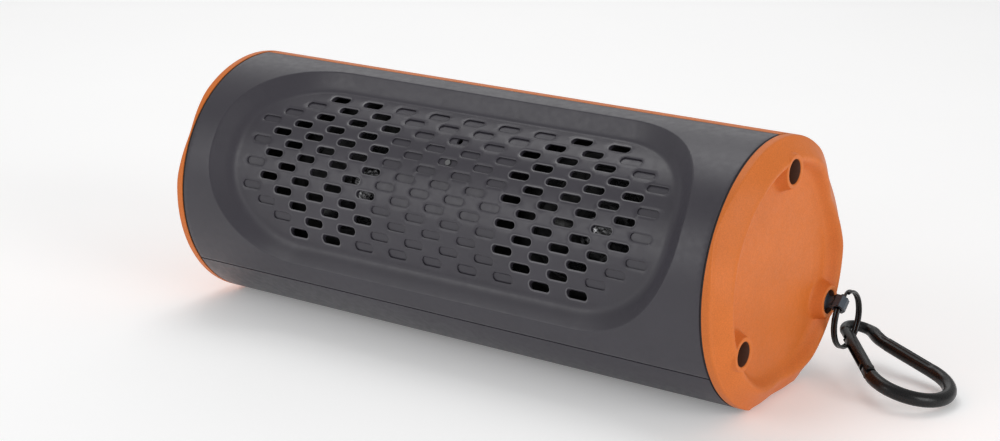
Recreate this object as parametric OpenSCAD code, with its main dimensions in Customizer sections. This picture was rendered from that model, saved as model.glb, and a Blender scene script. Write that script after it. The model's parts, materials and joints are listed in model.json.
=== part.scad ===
// Portable speaker: a tube of three panels closed by two screwed end caps,
// with a lanyard post, split ring and carabiner on the right-hand cap.
// +X runs along the tube towards the carabiner, -Y is the grille side, +Z is up,
// and the origin is the middle of the foot's underside.
// Angles round the tube are measured from the front (-Y) towards the top (+Z).

/* [Body] */
// Outer radius of the tube
body_r = 40; // [39.5:0.5:41]
// Length of the panels between the two gaskets
panel_len = 189.4; // [186:0.2:196]
// Wall thickness of the panels
wall = 2.6; // [2.4:0.1:2.8]
// Height of the tube's axis above the surface it stands on
axis_z = 38.6; // [38.4:0.1:38.8]
// Angle of the seam between the grille panel and the base panel
seam_low = -34; // [-35:1:-33]
// Angle of the seam between the grille panel and the rear shell
seam_top = 95; // [94:1:96]
// Angle of the seam between the rear shell and the base panel
seam_back = 214; // [213:1:215]

/* [Grille] */
// Angle that the grille faces
face_angle = 30; // [29:1:31]
// Radius of the sunk grille floor
floor_r = 34.6; // [34.4:0.1:34.8]
// Half length of the recess at the outer surface
recess_half_len = 86.8; // [86:0.2:87.4]
// Half angle of the recess at the outer surface
recess_half_angle = 52.6; // [52:0.2:53]
// Half length of the grille floor
floor_half_len = 78.4; // [78:0.2:79]
// Half angle of the grille floor
floor_half_angle = 46; // [45.6:0.2:46.4]
// Slot length
slot_len = 7; // [6.6:0.1:7.2]
// Slot width
slot_w = 2.3; // [2:0.1:2.4]
// Distance between slots in a row
slot_pitch = 12.9; // [12.8:0.1:13]
// Distance between rows
row_pitch = 3.7; // [3.6:0.1:3.7]

/* [End caps] */
// Height of the cap's rim above the gasket line at its three lobes
ridge_top = 7; // [6.8:0.1:7.4]
// Height of the rim midway between the lobes
ridge_dip = 5.5; // [5.2:0.1:5.7]
// Height of the cap's outer wall near the lobes
wall_top = 3; // [2.8:0.1:3.2]
// Height of the outer wall midway between the lobes
wall_dip = 1.3; // [1.2:0.1:1.6]
// Radius of the ridge at the lobes
ridge_r_top = 34; // [33.8:0.1:34.2]
// Radius of the ridge midway between the lobes
ridge_r_dip = 31.7; // [31.5:0.1:32]
// Height of the sunk cap floor
cap_floor = 3.1; // [2.8:0.1:3.3]
// Distance of the three screw bosses from the axis
boss_ring_r = 30.8; // [30.6:0.1:31]
// Radius of the screw wells
well_r = 3.6; // [3.5:0.1:3.7]

/* [Drivers] */
// Distance of each driver from the middle of the tube
driver_x = 43.9; // [43:0.1:45]
// Outer radius of the driver's frame
driver_r = 26; // [25:0.5:26.5]

/* [Buttons] */
// Angle of the button row
button_angle = 130; // [128:1:132]
// Distance between buttons
button_pitch = 19; // [18:0.5:21]
// Radius of each button
button_r = 5.5; // [5:0.25:5.75]

/* [Carabiner] */
// Radius of the carabiner's rod
rod_r = 2.1; // [2:0.05:2.1]
// Radius of the rod round the narrow end
nose_rod_r = 1.65; // [1.6:0.05:1.7]
// Centreline radius of the narrow end
nose_r = 4.8; // [4.7:0.1:4.9]
// Centreline radius of the wide end
bow_r = 12.1; // [11.9:0.1:12.2]
// Distance between the centres of the two ends
loop_len = 27.6; // [27.3:0.1:27.7]

/* [Hidden] */

orange = [0.82, 0.43, 0.2];
slate = [0.3, 0.29, 0.32];
ink = [0.06, 0.06, 0.07];
post_grey = [0.2, 0.22, 0.25];
steel = [0.72, 0.73, 0.75];
board_green = [0.08, 0.3, 0.18];
frame_grey = [0.45, 0.45, 0.47];

seam_gap = 0.2;             // half of the gap between neighbouring panels, in degrees
gasket_t = 0.7;
panel_end = panel_len / 2;
cap_start = panel_end + gasket_t;
seam_x = panel_end + gasket_t / 2;
inner_r = body_r - wall;
base_flat = axis_z - 1;     // depth of the flat under the base panel, below the axis
clear = 0.3;

// ---------- placing ----------

module at_axis() {
    translate([0, 0, axis_z]) children();
}

// Local Z points along angle a, local X along the tube and local Y up round the tube.
module facing(a) {
    at_axis() rotate([90 - a, 0, 0]) children();
}

// A solid of revolution round the tube's axis. Its profile is drawn as [radius, x].
module round_axis() {
    at_axis() rotate([0, 90, 0]) rotate_extrude($fn = 180) children();
}

// Part of a tube between two angles.
module sector(r_in, r_out, from, to, len) {
    at_axis() rotate([90, 0, -90]) rotate([0, 0, from])
        rotate_extrude(angle = to - from, $fn = 180)
            translate([r_in, -len / 2]) square([r_out - r_in, len]);
}

// Everything lower than depth below the axis.
module below(depth) {
    translate([-150, -60, axis_z - depth - 50]) cube([300, 120, 50]);
}

module slot_2d(len, w) {
    square([len - w, w], center = true);
    for (s = [-1, 1]) translate([s * (len - w) / 2, 0]) circle(d = w, $fn = 32);
}

module rounded_2d(len, w, r) {
    square([len - 2 * r, w], center = true);
    square([len, w - 2 * r], center = true);
    for (sx = [-1, 1], sy = [-1, 1])
        translate([sx * (len / 2 - r), sy * (w / 2 - r)]) circle(r = r, $fn = 32);
}

// ---------- grille panel ----------

tub_half_angle = 55.5;
tub_wall = 1.5;
tub_half_len = 89;
tub_half_width = 33.4;
corner_steps = 16;

// One point of a rounded rectangle, drawn on the tube: x along it, s round it.
function outline(half_len, half_arc, corner, i) =
    let (q = floor(i / (corner_steps + 1)),
         a = 90 * q + 90 * (i - q * (corner_steps + 1)) / corner_steps,
         sx = (q == 0 || q == 3) ? 1 : -1,
         sy = q < 2 ? 1 : -1)
    [sx * (half_len - corner) + corner * cos(a), sy * (half_arc - corner) + corner * sin(a)];

// The same point on a tube of radius r, in the frame that faces the grille.
function on_tube(p, r) =
    let (a = p[1] / body_r * 180 / PI) [p[0], r * sin(a), r * cos(a)];

function arc_len(a) = a * PI / 180 * body_r;

module recess_cutter() {
    n = 4 * (corner_steps + 1);
    rim = [for (i = [0:n - 1])
        on_tube(outline(recess_half_len, arc_len(recess_half_angle), 34.5, i), body_r)];
    foot = [for (i = [0:n - 1])
        on_tube(outline(floor_half_len, arc_len(floor_half_angle), 29.5, i), floor_r)];
    top = [for (i = [0:n - 1]) rim[i] - 0.2 * (foot[i] - rim[i])];
    bottom = [for (i = [0:n - 1]) rim[i] + 1.5 * (foot[i] - rim[i])];
    points = concat(top, bottom, [[0, 0, 1.5 * body_r], [0, 0, 10]]);
    sides = [for (i = [0:n - 1]) let (j = (i + 1) % n) each [[i, j, i + n], [j, j + n, i + n]]];
    lids = [for (i = [0:n - 1]) let (j = (i + 1) % n) each [[j, i, 2 * n], [i + n, j + n, 2 * n + 1]]];
    facing(face_angle) polyhedron(points, concat(sides, lids), convexity = 4);
}

row_slots = [11, 12, 11, 12, 11, 10, 9];    // slots in a row, by distance from the middle row
open_from = [2, 2, 2, 2, 2, 2, 3];          // first open slot, in pitches from the middle
open_to = [5, 5, 5, 5, 4, 3.5, 4];          // last open slot

module slot_pattern(want_open) {
    for (row = [-6:6]) {
        r = abs(row);
        last = (row_slots[r] - 1) / 2;
        for (k = [-last:last]) {
            is_open = abs(k) >= open_from[r] && abs(k) <= open_to[r];
            if (is_open == want_open)
                translate([k * slot_pitch, row * row_pitch]) slot_2d(slot_len, slot_w);
        }
    }
}

dimple_depth = 0.6;
mic_row = 4;
lens_row = 2;
status_board_n = 22;        // rear face of the status board, from the axis
status_board_t = 1;

module front_grille() color(slate) difference() {
    union() {
        sector(inner_r, body_r, seam_low + seam_gap, seam_top - seam_gap, panel_len);
        intersection() {
            sector(floor_r - tub_wall, body_r - 1, face_angle - tub_half_angle,
                   face_angle + tub_half_angle, 2 * tub_half_len);
            facing(face_angle) linear_extrude(60)
                slot_2d(2 * tub_half_len, 2 * tub_half_width);
        }
        for (s = [-1, 1])
            facing(face_angle) translate([s * 5.5, 11, status_board_n + status_board_t])
                cylinder(r = 1.5, h = 8.5, $fn = 32);
    }
    difference() {
        recess_cutter();
        at_axis() rotate([0, 90, 0]) cylinder(r = floor_r, h = 220, center = true, $fn = 180);
    }
    facing(face_angle) translate([0, 0, 18]) linear_extrude(30) slot_pattern(true);
    difference() {
        facing(face_angle) translate([0, 0, 18]) linear_extrude(30) slot_pattern(false);
        at_axis() rotate([0, 90, 0])
            cylinder(r = floor_r - dimple_depth, h = 220, center = true, $fn = 180);
    }
    for (row = [mic_row, lens_row])
        facing(face_angle) translate([0, row * row_pitch, 18]) cylinder(r = 1, h = 30, $fn = 24);
}

// ---------- base and rear panels ----------

foot_len = 150;
foot_w = 22;
foot_t = 2.2;

module base_panel() color(slate) difference() {
    union() {
        sector(inner_r, body_r, seam_back + seam_gap, 360 + seam_low - seam_gap, panel_len);
        intersection() {
            translate([-panel_end, -16, 0]) cube([panel_len, 32, 5]);
            sector(30, body_r, 230, 310, panel_len);
        }
    }
    below(base_flat);
    linear_extrude(foot_t + 0.1) rounded_2d(foot_len + 0.4, foot_w + 0.4, 5.2);
}

module rubber_foot() color(ink)
    linear_extrude(foot_t) rounded_2d(foot_len, foot_w, 5);

// Pocket and hinge of the flap over the sockets, in the frame facing the back (180 degrees).
flap_len = 36;
flap_h = 13.2;
flap_in = 38.2;
pocket_floor = 37.6;
hinge_v = 5.6;              // distance of the hinge below the pocket's middle
hinge_out = 38.8;           // distance of the hinge from the tube's axis
knuckle_r = 0.8;
pin_r = 0.4;
tray_depth = 34;
usb_x = -9;
aux_x = 9;

// Local X along the tube, Y outward and Z up, at the height of the tube's axis.
module back_frame() {
    at_axis() children();
}

module along_x(r, len) {
    rotate([0, 90, 0]) cylinder(r = r, h = len, center = true, $fn = 48);
}

module rear_shell() color(orange) difference() {
    union() {
        sector(inner_r, body_r, seam_top + seam_gap, seam_back - seam_gap, panel_len);
        back_frame() translate([-22, tray_depth, -9.5]) cube([44, 4.4, 19]);
        for (s = [-1, 1])
            back_frame() translate([s * 26, 33.3, 0]) rotate([-90, 0, 0])
                cylinder(r = 2.6, h = 5, $fn = 32);
        for (i = [-1.5:1.5])
            facing(button_angle) translate([i * button_pitch, 0, button_board_n + button_board_t])
                cylinder(r = 1.6, h = 6, $fn = 32);
    }
    back_frame() translate([-flap_len / 2 - clear, pocket_floor, -flap_h / 2 - clear])
        cube([flap_len + 2 * clear, 10, flap_h + 2 * clear]);
    back_frame() translate([0, hinge_out, -hinge_v]) along_x(2, flap_len + 2 * clear);
    back_frame() translate([0, hinge_out, -hinge_v]) along_x(pin_r, flap_len + 4.2);
    back_frame() translate([usb_x, 30, 0]) rotate([-90, 0, 0])
        linear_extrude(12) slot_2d(9.6, 3.8);
    back_frame() translate([aux_x, 30, 0]) rotate([-90, 0, 0]) cylinder(r = 3.3, h = 12, $fn = 48);
    for (s = [-1, 1])
        back_frame() translate([s * 26, 30, 0]) rotate([-90, 0, 0]) cylinder(r = 0.8, h = 7, $fn = 24);
    for (i = [-2:2])
        facing(button_angle) translate([i * button_pitch, 0, 30])
            cylinder(r = button_r + clear, h = 20, $fn = 64);
}

module port_cover() color(ink) difference() {
    union() {
        intersection() {
            at_axis() rotate([0, 90, 0])
                cylinder(r = body_r - 0.1, h = 100, center = true, $fn = 180);
            back_frame() translate([-flap_len / 2, flap_in, -hinge_v])
                cube([flap_len, 4, flap_h / 2 + hinge_v]);
        }
        back_frame() translate([0, hinge_out, -hinge_v]) along_x(knuckle_r, flap_len);
        back_frame() translate([-5, 38.6, flap_h / 2 - 2.4]) cube([10, 1.9, 1.6]);
    }
    back_frame() translate([0, hinge_out, -hinge_v]) along_x(pin_r + 0.05, flap_len + 2);
}

module port_cover_pin() color(steel)
    back_frame() translate([0, hinge_out, -hinge_v]) along_x(pin_r, flap_len + 4);

module usb_port() color(steel) back_frame() translate([usb_x, 33.2, 0]) rotate([-90, 0, 0])
    difference() {
        linear_extrude(4.1) slot_2d(9, 3.2);
        translate([0, 0, 1]) linear_extrude(4) difference() {
            slot_2d(8.4, 2.6);
            square([6.2, 0.7], center = true);
        }
    }

module aux_port() color(ink) back_frame() translate([aux_x, 33.2, 0]) rotate([-90, 0, 0])
    difference() {
        cylinder(r = 3, h = 4.1, $fn = 48);
        translate([0, 0, 0.6]) cylinder(r = 1.8, h = 4, $fn = 48);
    }

// ---------- end caps ----------

cap_bosses = [90, -30, -150];
cap_steps = 90;

// Share of the dip at angle a: none round a boss, and full midway between two bosses.
function from_boss(a) = abs(((a - 90) % 120 + 180) % 120 - 60);
function ease(s) = (1 - cos(180 * max(0, min(1, s)))) / 2;
function dip(a) = ease((from_boss(a) - 30) / 29);

// The ridge runs lower and further in between the bosses.
function rim_h(a) = ridge_top - (ridge_top - ridge_dip) * dip(a);
function rim_r(a) = ridge_r_top - (ridge_r_top - ridge_r_dip) * dip(a);

// Height of the cap's outer wall, which is scooped down between the bosses.
function wall_h(a) = wall_top - (wall_top - wall_dip) * ease((from_boss(a) - 38) / 20);

// The cap's section at angle a, as [radius, height above the seam line], from the outside in.
function cap_section(a) =
    let (h = rim_h(a), r = rim_r(a), step = h - cap_floor, w = wall_h(a))
    [[body_r, gasket_t / 2], [body_r, w - 0.5], [39.7, w], [39, w + 0.06 * (h - w)],
     [r + 0.7, h - 0.25], [r, h], [r - 0.7, h - 0.15], [r - 1.5, h - 0.25 * step],
     [r - 2.5, h - 0.62 * step], [r - 3.5, cap_floor + 0.12 * step], [r - 4.8, cap_floor]];

module cap_shell() {
    rings = len(cap_section(0));
    points = concat(
        [for (i = [0:cap_steps - 1]) let (a = i * 360 / cap_steps) each
            [for (p = cap_section(a)) [seam_x + p[1], -p[0] * cos(a), p[0] * sin(a)]]],
        [[seam_x + cap_floor, 0, 0], [cap_start, 0, 0]]);
    top = cap_steps * rings;
    skin = [for (i = [0:cap_steps - 1], k = [0:rings - 2])
        let (a = i * rings + k, b = ((i + 1) % cap_steps) * rings + k)
        each [[a, b, a + 1], [b, b + 1, a + 1]]];
    lids = [for (i = [0:cap_steps - 1])
        let (a = i * rings, b = ((i + 1) % cap_steps) * rings)
        each [[a + rings - 1, b + rings - 1, top], [b, a, top + 1]]];
    at_axis() polyhedron(points, concat(skin, lids), convexity = 6);
}

spigot_len = 3;
boss_top = 6.9;
well_floor = -1.5;
well_wall = 1.4;

// Places children at one boss, with Z along the tube outward and Z = 0 on the seam line.
module at_boss(a) {
    at_axis() translate([seam_x, -boss_ring_r * cos(a), boss_ring_r * sin(a)])
        rotate([0, 90, 0]) children();
}

module end_cap() difference() {
    union() {
        cap_shell();
        round_axis() translate([34.6, cap_start - spigot_len]) square([2.5, spigot_len + 1]);
        for (a = cap_bosses) at_boss(a) {
            translate([0, 0, well_floor - 2])
                cylinder(r = well_r + well_wall, h = 2 - well_floor + 2, $fn = 64);
            translate([0, 0, 1]) rotate_extrude($fn = 64)
                polygon([[0, 0], [6, 0], [6, cap_floor - 0.8], [5.1, cap_floor + 0.3],
                         [4.7, boss_top - 1.3], [4.5, boss_top - 1], [0, boss_top - 1]]);
        }
    }
    for (a = cap_bosses) at_boss(a) {
        translate([0, 0, well_floor]) cylinder(r = well_r, h = 20, $fn = 64);
        translate([0, 0, -10]) cylinder(r = 1.7, h = 20, $fn = 32);
    }
    below(base_flat);
    intersection() {
        round_axis() translate([20, 80]) square([18, cap_start - 80]);
        below(33.2);
    }
}

// The gasket is straight along the base panel's flat.
module gasket() color(ink) difference() {
    union() {
        round_axis() translate([inner_r, panel_end]) square([2.35, gasket_t]);
        translate([panel_end, -9.5, 0]) cube([gasket_t, 19, axis_z - base_flat + 1.6]);
    }
    below(base_flat);
}

// ---------- inside frame ----------

bulkhead_out = 91.3;
bulkhead_t = 2;
pilot_r = 3.2;
pilot_len = 9.5;

module bulkhead() color(frame_grey) difference() {
    union() {
        round_axis() translate([24, bulkhead_out - bulkhead_t]) square([12.6, bulkhead_t]);
        for (a = cap_bosses) at_boss(a)
            translate([0, 0, bulkhead_out - seam_x - pilot_len])
                cylinder(r = pilot_r, h = pilot_len, $fn = 48);
    }
    for (a = cap_bosses) at_boss(a)
        translate([0, 0, -30]) cylinder(r = 1.5, h = 40, $fn = 32);
    below(33);
}

baffle_n = 13.5;            // distance of the baffle's rear face from the axis, towards the grille
baffle_t = 3;
driver_hole_r = 23.6;
column_v = [-23.5, 7.5];    // places of the two columns that carry the battery holder
holder_ear_n = -17;

module baffle() color(frame_grey) facing(face_angle) difference() {
    union() {
        translate([0, 0, baffle_n]) linear_extrude(baffle_t) {
            square([156, 64.6], center = true);
            square([178.4, 38], center = true);
        }
        for (v = column_v) translate([0, v, holder_ear_n])
            cylinder(r = 3.4, h = baffle_n - holder_ear_n + 1, $fn = 48);
    }
    for (s = [-1, 1]) translate([s * driver_x, 0, 0]) {
        cylinder(r = driver_hole_r, h = 40, $fn = 120);
        for (a = [45:90:315]) rotate(a) translate([27.3, 0, 0]) cylinder(r = 0.9, h = 40, $fn = 24);
    }
    for (v = column_v) translate([0, v, holder_ear_n - 1]) cylinder(r = 1.1, h = 12, $fn = 24);
}

// ---------- drivers ----------

driver_n = baffle_n + baffle_t;      // seat of the driver's flange
flange_t = 1.2;
motor_r = 16;
motor_n = -6;                        // rear face of the magnet

module at_driver(side) {
    facing(face_angle) translate([side * driver_x, 0, 0]) children();
}

module driver_basket(side) color(ink) at_driver(side) difference() {
    union() {
        rotate_extrude($fn = 120)
            polygon([[10, 2], [14, 2], [23.3, 12.5], [23.3, driver_n], [driver_r, driver_n],
                     [driver_r, driver_n + flange_t], [22.4, driver_n + flange_t], [22.4, 13],
                     [13.4, 3.2], [10, 3.2]]);
        for (a = [45:90:315]) rotate(a) translate([27.3, 0, driver_n])
            cylinder(r = 2.4, h = flange_t, $fn = 32);
    }
    for (a = [0:60:300]) rotate(a) translate([18.5, 0, 7.5]) rotate([0, -40, 0])
        cylinder(r = 3.2, h = 10, center = true, $fn = 32);
    for (a = [45:90:315]) rotate(a) translate([27.3, 0, 0]) cylinder(r = 1.2, h = 40, $fn = 24);
}

module driver_magnet(side) color(steel) at_driver(side) rotate_extrude($fn = 96)
    polygon([[0, motor_n], [motor_r, motor_n], [motor_r, 1.9], [7.2, 1.9], [7.2, motor_n + 2],
             [5.8, motor_n + 2], [5.8, 3], [0, 3]]);

// Half-roll rubber edge between the frame and the cone.
module driver_surround(side) color(ink) at_driver(side) rotate_extrude($fn = 120)
    translate([20.4, driver_n + flange_t]) union() {
        difference() {
            circle(r = 2.9, $fn = 48);
            circle(r = 2.4, $fn = 48);
            translate([-4, -8]) square([8, 8]);
        }
        translate([2.4, 0]) square([2.4, 0.5]);
        translate([-3.4, 0]) square([1, 0.5]);
    }

module driver_cone(side) color([0.12, 0.12, 0.13]) at_driver(side) rotate_extrude($fn = 120)
    polygon([[6.4, 0.5], [6.9, 0.5], [6.9, 6], [17.4, driver_n + 0.2], [17.8, driver_n + 1],
             [17.1, driver_n + 1], [6.4, 6.8]]);

module dust_cap(side) color(steel) at_driver(side) translate([0, 0, 9.35]) rotate_extrude($fn = 96)
    polygon(concat([for (a = [20:10:90]) [13 * cos(a) * 0.72, 9 * sin(a) - 3.1]],
                   [for (a = [90:-10:20]) [12.4 * cos(a) * 0.72, 8.4 * sin(a) - 3.1]]));

module driver_screws() color(steel) for (side = [-1, 1], a = [45:90:315])
    at_driver(side) rotate(a) translate([27.3, 0, driver_n + flange_t]) {
        cylinder(r = 1.9, h = 1.1, $fn = 32);
        translate([0, 0, -4]) cylinder(r = 0.85, h = 4.5, $fn = 24);
    }

// ---------- battery and boards ----------

cell_r = 9.2;
cell_len = 65;
cell_v = -8;
cell_n = -17;

module battery_cells() color([0.15, 0.35, 0.6]) facing(face_angle) for (s = [-1, 1])
    translate([s * 34.5, cell_v, cell_n]) rotate([0, 90, 0]) {
        cylinder(r = cell_r, h = cell_len, center = true, $fn = 96);
        translate([0, 0, cell_len / 2]) cylinder(r = 3, h = 0.8, $fn = 32);
    }

module battery_holder() color(ink) facing(face_angle) difference() {
    union() {
        translate([-71, cell_v - 11.2, cell_n - 10.8]) cube([142, 22.4, 10.8]);
        for (v = column_v) translate([0, v, cell_n - 3]) linear_extrude(3 - 0.1)
            rounded_2d(12, 9.6, 2);
    }
    for (s = [-1, 1]) translate([s * 34.5, cell_v, cell_n]) rotate([0, 90, 0])
        cylinder(r = cell_r + 0.2, h = cell_len + 2.6, center = true, $fn = 96);
    for (v = column_v) translate([0, v, cell_n - 8]) cylinder(r = 1.4, h = 12, $fn = 24);
}

module holder_screws() color(steel) facing(face_angle) for (v = column_v)
    translate([0, v, cell_n - 3]) {
        translate([0, 0, -1.4]) cylinder(r = 2.4, h = 1.4, $fn = 32);
        cylinder(r = 1.05, h = 10, $fn = 24);
    }

board_y = 31.6;
board_t = 1.5;

module main_board() color(board_green) back_frame() difference() {
    translate([-32, board_y, -11]) cube([64, board_t, 22]);
    for (s = [-1, 1]) translate([s * 26, 30, 0]) rotate([-90, 0, 0]) cylinder(r = 1.2, h = 6, $fn = 24);
}

// Amplifier, radio, inductors and capacitors on the inner side of the main board.
module board_components() color(ink) back_frame() {
    translate([-8, board_y - 1.4, 2]) cube([8, 1.4, 7]);
    translate([4, board_y - 1.2, 3]) cube([5, 1.2, 5]);
    translate([-20, board_y - 2.6, 3]) cube([6, 2.6, 6]);
    for (x = [12:5:22]) translate([x, board_y, 6]) rotate([90, 0, 0]) cylinder(r = 2, h = 3.4, $fn = 32);
}

module board_screws() color(steel) back_frame() for (s = [-1, 1])
    translate([s * 26, board_y - 1.2, 0]) rotate([-90, 0, 0]) {
        cylinder(r = 2, h = 1.2, $fn = 32);
        cylinder(r = 0.75, h = 6, $fn = 24);
    }

button_board_n = 31;        // inner face of the button board, from the axis
button_board_t = 1.2;
switch_top = 34.1;
button_foot = 35;
button_top = 40.4;

module button_board() color(board_green) facing(button_angle)
    translate([-45, -5.5, button_board_n]) cube([90, 11, button_board_t]);

module button_switches() color(steel) facing(button_angle) for (i = [-2:2])
    translate([i * button_pitch, 0, button_board_n + button_board_t]) {
        translate([-2.6, -2.6, 0]) cube([5.2, 5.2, 1.4]);
        cylinder(r = 1.2, h = switch_top - button_board_n - button_board_t, $fn = 32);
    }

// A round push button with a retaining flange inside the shell.
module button(i) color(ink) facing(button_angle) translate([i * button_pitch, 0, 0])
    rotate_extrude($fn = 64)
        polygon([[0, button_foot], [button_r + 0.9, button_foot], [button_r + 0.9, button_foot + 1],
                 [button_r, button_foot + 1], [button_r, button_top - 0.7],
                 [button_r - 0.25, button_top - 0.25], [button_r - 0.8, button_top],
                 [0, button_top + 0.2]]);

module power_button() button(-2);
module volume_down_button() button(-1);
module play_button() button(0);
module volume_up_button() button(1);
module call_button() button(2);

module status_board() color(board_green) facing(face_angle)
    translate([-7, 2, status_board_n]) cube([14, 18, status_board_t]);

module microphone() color(steel) facing(face_angle)
    translate([0, mic_row * row_pitch, status_board_n + status_board_t])
        cylinder(r = 2, h = 3.6, $fn = 32);

module status_lens() color([0.85, 0.9, 1]) facing(face_angle)
    translate([0, lens_row * row_pitch, status_board_n + status_board_t]) {
        cylinder(r = 2, h = 6.6, $fn = 32);
        cylinder(r = 0.9, h = 10.6, $fn = 24);
    }

// ---------- screws ----------

module cap_screw() {
    difference() {
        translate([0, 0, well_floor]) cylinder(r = 2.8, h = 2.2, $fn = 48);
        translate([0, 0, well_floor + 1]) cylinder(r = 1.5, h = 3, $fn = 6);
    }
    translate([0, 0, -13]) cylinder(r = 1.45, h = 13 + well_floor, $fn = 32);
}

// Five cap screws: the lanyard post takes the place of the sixth.
module cap_screws() color(ink) {
    for (a = [90, -30]) at_boss(a) cap_screw();
    mirror([1, 0, 0]) for (a = cap_bosses) at_boss(a) cap_screw();
}

// ---------- lanyard post and split ring ----------

post_angle = -150;
ring_wire = 1;
ring_r = 8.5;
ring_lean = 40;             // angle of the post's cross hole above the horizontal
head_x = 10.1;              // distance of the cross hole beyond the seam line

// Middle of the post's cross hole: local Y runs along the hole, local X towards the
// middle of the hanging ring, and local Z along the tube.
module at_cross_hole() {
    at_boss(post_angle) translate([0, 0, head_x]) rotate([0, 0, ring_lean]) children();
}

module lanyard_post() color(post_grey) difference() {
    union() {
        at_boss(post_angle) rotate_extrude($fn = 64)
            polygon([[0, -13], [1.45, -13], [1.45, well_floor], [3.3, well_floor], [3.3, 5],
                     [2.9, 5.4], [2.2, 5.8], [1.8, 6.4], [1.7, head_x - 1], [0, head_x - 1]]);
        at_cross_hole() rotate([90, 0, 0]) rotate([0, 0, 22.5])
            cylinder(r = 2.4, h = 3.8, center = true, $fn = 8);
    }
    at_cross_hole() rotate([90, 0, 0]) cylinder(r = 1.4, h = 10, center = true, $fn = 48);
}

// Two turns of wire side by side.
module split_ring() color(ink) at_cross_hole() translate([ring_r, 0, 0])
    rotate_extrude($fn = 120) translate([ring_r, 0])
        for (s = [-1, 1]) translate([0, s * (ring_wire / 2 - 0.01)]) circle(d = ring_wire, $fn = 32);

// ---------- carabiner ----------

carabiner_at = [106.9, 39, -28];    // middle of the narrow end, from the tube's axis
carabiner_turn = [-8.9, 10.2, -33.8];
side_angle = acos(-(bow_r - nose_r) / loop_len);    // where the gate side leaves the end arcs
side_slope = 90 - side_angle;
side_len = sqrt(pow(loop_len, 2) - pow(bow_r - nose_r, 2));
side_r = rod_r - 0.05;      // the straight sides are a touch thinner, so that they end inside the arcs
bite = 0.5;                 // how far they reach into the arcs
neck_r = 2.5;               // distance of the spine's line from the middle of the narrow end
bend_r = 12;                // the bend that leads the narrow end into the spine
spine_slope = asin((bow_r - neck_r) / loop_len);
bend_turn = acos((neck_r + bend_r) / (nose_r + bend_r));
nose_end = 90 + spine_slope - bend_turn;
spine_start = (nose_r + bend_r) * sin(bend_turn);
spine_end = loop_len * cos(spine_slope);
gate_start = 4;
hinge_at = 25.6;
hinge_r = 0.65;
latch_len = 2.2;
tongue_t = 1.7;             // thickness of the frame's tongue inside the gate's fork
fork_gap = 2.3;
fork_depth = 2.9;           // how far the slot runs behind the hinge, clear of the turning tongue
fork_end = 1.5;             // reach of the fork beyond the hinge
shoulder = 2.4;             // where the frame has its full thickness again, beyond the hinge

module at_carabiner() {
    at_axis() translate(carabiner_at) rotate(carabiner_turn) children();
}

// Local X runs from the narrow end to the wide end along the gate side of the loop.
module along_gate() {
    translate([nose_r * cos(side_angle), -nose_r * sin(side_angle), 0])
        rotate([0, 0, side_slope]) children();
}

module rod(from, to, r = rod_r) {
    translate([from, 0, 0]) rotate([0, 90, 0]) cylinder(r = r, h = to - from, $fn = 48);
}

module bent_rod(bend, from, to, r) {
    rotate([0, 0, from]) rotate_extrude(angle = to - from, $fn = 96)
        translate([bend, 0]) circle(r = r, $fn = 48);
}

module carabiner_body() color(ink) at_carabiner() difference() {
    union() {
        bent_rod(nose_r, nose_end - 2, 360 - side_angle, nose_rod_r);
        rotate([0, 0, nose_end]) translate([nose_r + bend_r, 0, 0])
            bent_rod(bend_r, 180, 180 + bend_turn, rod_r);
        rotate([0, 0, spine_slope]) translate([0, neck_r, 0])
            rod(spine_start - bite, spine_end + bite, side_r);
        translate([loop_len, 0, 0]) bent_rod(bow_r, -side_angle, 90 + spine_slope, rod_r);
        along_gate() {
            rod(-bite, gate_start - 0.3, nose_rod_r - 0.05);
            rod(gate_start - 1, gate_start + latch_len, 0.7);
            translate([gate_start + latch_len - 0.9, -1.3, -0.7]) cube([0.9, 2.6, 1.4]);
            rod(hinge_at - 1.6, side_len + bite, side_r);
        }
    }
    along_gate() {
        translate([hinge_at, 0, 0])
            cylinder(r = hinge_r - 0.05, h = 10, center = true, $fn = 32);
        for (side = [-1, 1])
            translate([hinge_at - 4, -3, side * (tongue_t / 2 + 1.5) - 1.5])
                cube([4 + shoulder, 6, 3]);
    }
}

module carabiner_gate() color(ink) at_carabiner() along_gate() difference() {
    rod(gate_start, hinge_at + fork_end, rod_r - 0.1);
    translate([gate_start - 1, -3, -1]) cube([latch_len + 1.6, 6, 2]);
    translate([hinge_at - fork_depth, -3, -fork_gap / 2]) cube([fork_depth + 4, 6, fork_gap]);
    rod(gate_start + 3, hinge_at, 1.1);
    translate([hinge_at, 0, 0]) cylinder(r = hinge_r, h = 10, center = true, $fn = 32);
}

module gate_pin() color(steel) at_carabiner() along_gate() translate([hinge_at, 0, 0])
    cylinder(r = hinge_r - 0.05, h = 3.6, center = true, $fn = 32);

spring_turns = 9;
spring_steps = 12;
spring_r = 0.75;
spring_wire = 0.13;

// A point on the spring's wire: i counts steps along the coil, a is the angle round the wire.
function spring_point(i, a) =
    let (t = i * 360 / spring_steps, r = spring_r + spring_wire * cos(a))
    [8 + i / spring_steps * 0.9 + spring_wire * sin(a), r * cos(t), r * sin(t)];

module gate_spring() color(steel) at_carabiner() along_gate() {
    n = spring_turns * spring_steps;
    sides = 6;
    points = [for (i = [0:n], k = [0:sides - 1]) spring_point(i, k * 360 / sides)];
    skin = [for (i = [0:n - 1], k = [0:sides - 1])
        let (a = i * sides + k, b = i * sides + (k + 1) % sides)
        each [[a, a + sides, b], [b, a + sides, b + sides]]];
    ends = [[for (k = [0:sides - 1]) k], [for (k = [sides - 1:-1:0]) n * sides + k]];
    polyhedron(points, concat(skin, ends), convexity = 10);
}

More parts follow.
